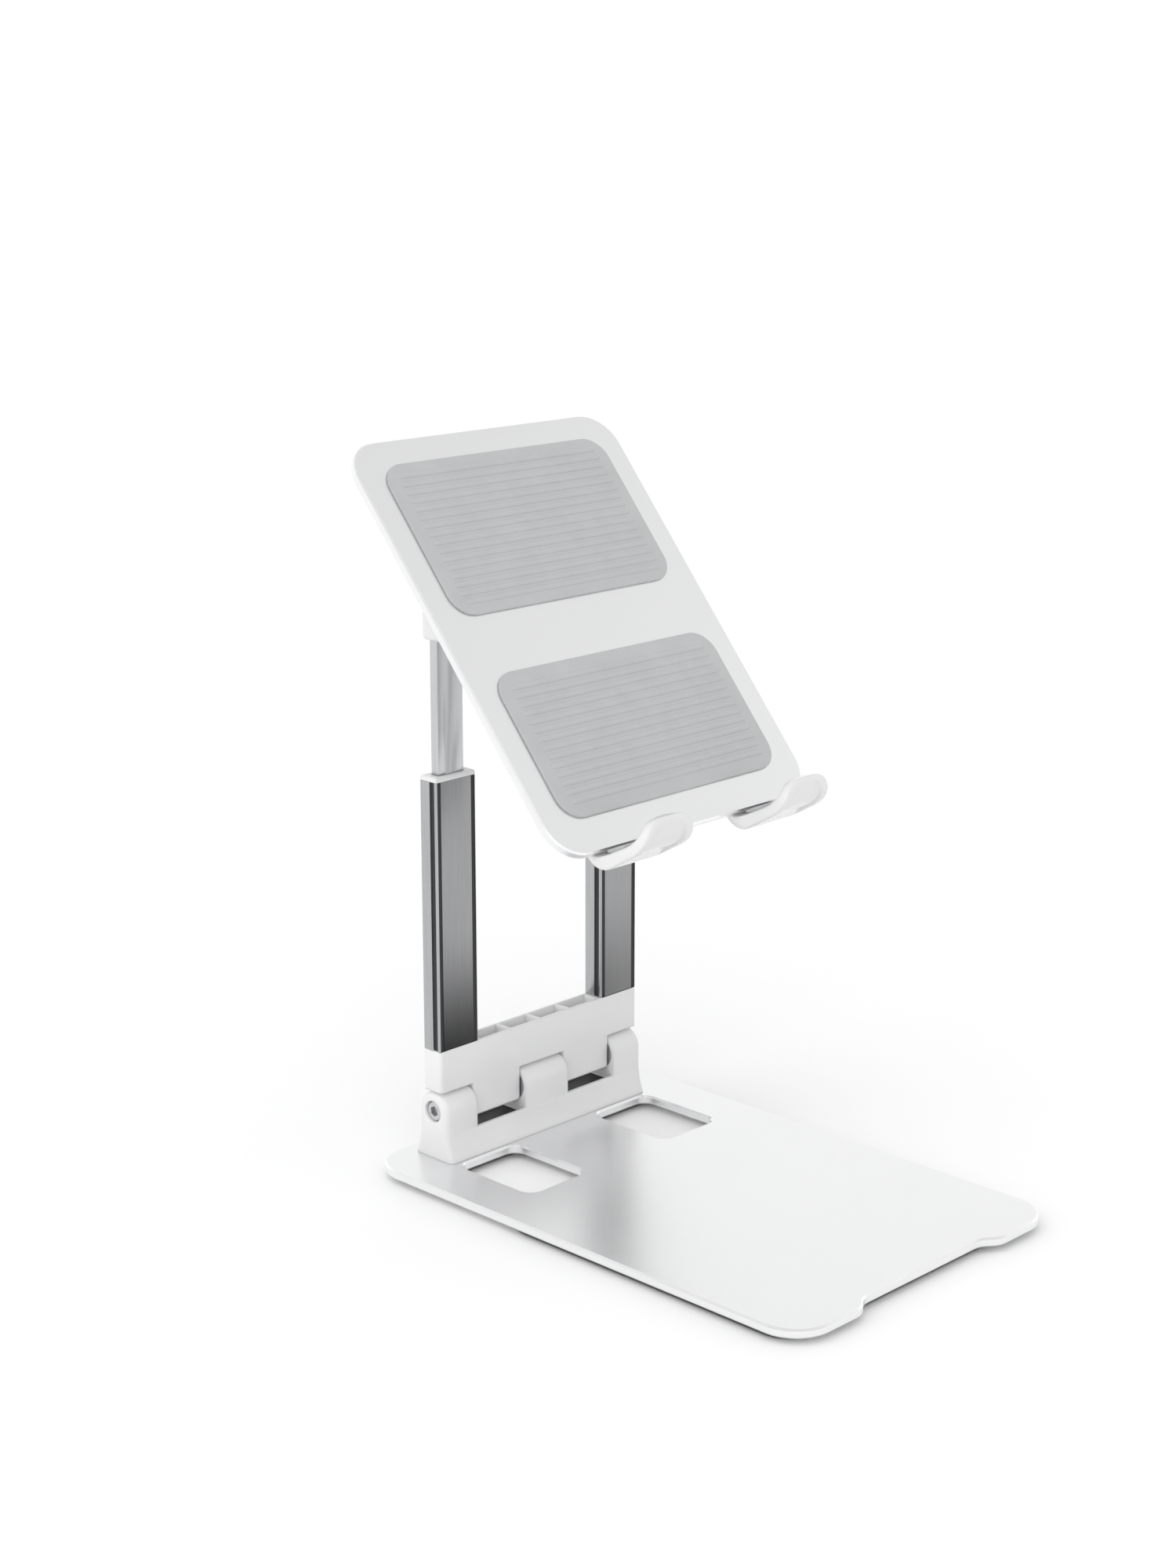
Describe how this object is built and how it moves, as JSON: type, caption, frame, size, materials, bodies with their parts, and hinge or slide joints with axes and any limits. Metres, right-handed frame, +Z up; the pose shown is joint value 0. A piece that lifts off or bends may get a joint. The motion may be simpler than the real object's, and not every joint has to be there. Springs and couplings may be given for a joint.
{
  "type": "tablet stand",
  "caption": "Folding tablet stand: flat base with hook windows, friction-hinged twin telescoping arms and a tilting padded tray with curled hooks.",
  "frame": {"origin": "on the table, at the centre of the underside of the base's mat, under the middle of the plate", "axes": "+X to the user's right, the user sits at -Y, +Z up"},
  "size_m": [0.12, 0.1894, 0.2298],
  "materials": {
    "satin_aluminium": "bead-blasted, clear anodised, bright cut edges",
    "white_coated": "fine matte powder coat",
    "gloss_white": "glossy moulded white",
    "white_plastic": "moulded, satin",
    "arm_aluminium": "drawn, satin with bright edges",
    "arm_inlay": "finely brushed lengthwise",
    "dark_trim": "matte black",
    "bar_steel": "brushed lengthwise",
    "screw_steel": "bright nickel",
    "spring_steel": "plain",
    "dark_silicone": "matte silicone",
    "light_silicone": "matte silicone"
  },
  "bodies": {
    "base": {"base_plate": "satin_aluminium", "front_mat": "dark_silicone", "rear_pads": "dark_silicone", "hinge_bracket": "white_coated", "bracket_screws": "screw_steel", "hinge_bolt": "screw_steel", "hinge_nut": "screw_steel", "hinge_washers": "spring_steel", "hinge_springs": "spring_steel"},
    "arms": {"hinge_block": "white_coated", "left_arm": "arm_aluminium", "right_arm": "arm_aluminium", "left_arm_inlay": "arm_inlay", "right_arm_inlay": "arm_inlay", "left_arm_trims": "dark_trim", "right_arm_trims": "dark_trim", "left_arm_cap": "white_plastic", "right_arm_cap": "white_plastic", "rod_liners": "white_plastic", "arm_screws": "screw_steel"},
    "rods": {"left_rod": "bar_steel", "right_rod": "bar_steel", "rod_glides": "white_plastic", "upper_block": "white_coated", "rod_screws": "screw_steel", "tray_bolt": "screw_steel", "tray_nut": "screw_steel", "tray_washers": "spring_steel", "tray_springs": "spring_steel"},
    "tray": {"tray_leaf": "white_coated", "leaf_screws": "screw_steel", "tray_plate": "satin_aluminium", "left_hook": "gloss_white", "right_hook": "gloss_white", "hook_screws": "screw_steel", "left_hook_pad": "light_silicone", "right_hook_pad": "light_silicone", "lower_tray_pad": "light_silicone", "upper_tray_pad": "light_silicone"}
  },
  "joints": [
    {"name": "arm_lean", "type": "hinge", "parent": "base", "child": "arms", "pos_m": [0, 0.0755, 0.0207], "axis": [1, 0, 0], "range_deg": [0, 45]},
    {"name": "height_slide", "type": "slide", "parent": "arms", "child": "rods", "axis": [0, 0, 1], "range_m": [-0.03, 0]},
    {"name": "tray_tilt", "type": "hinge", "parent": "rods", "child": "tray", "pos_m": [0, 0.0755, 0.1888], "axis": [1, 0, 0], "range_deg": [-50, 35]}
  ]
}
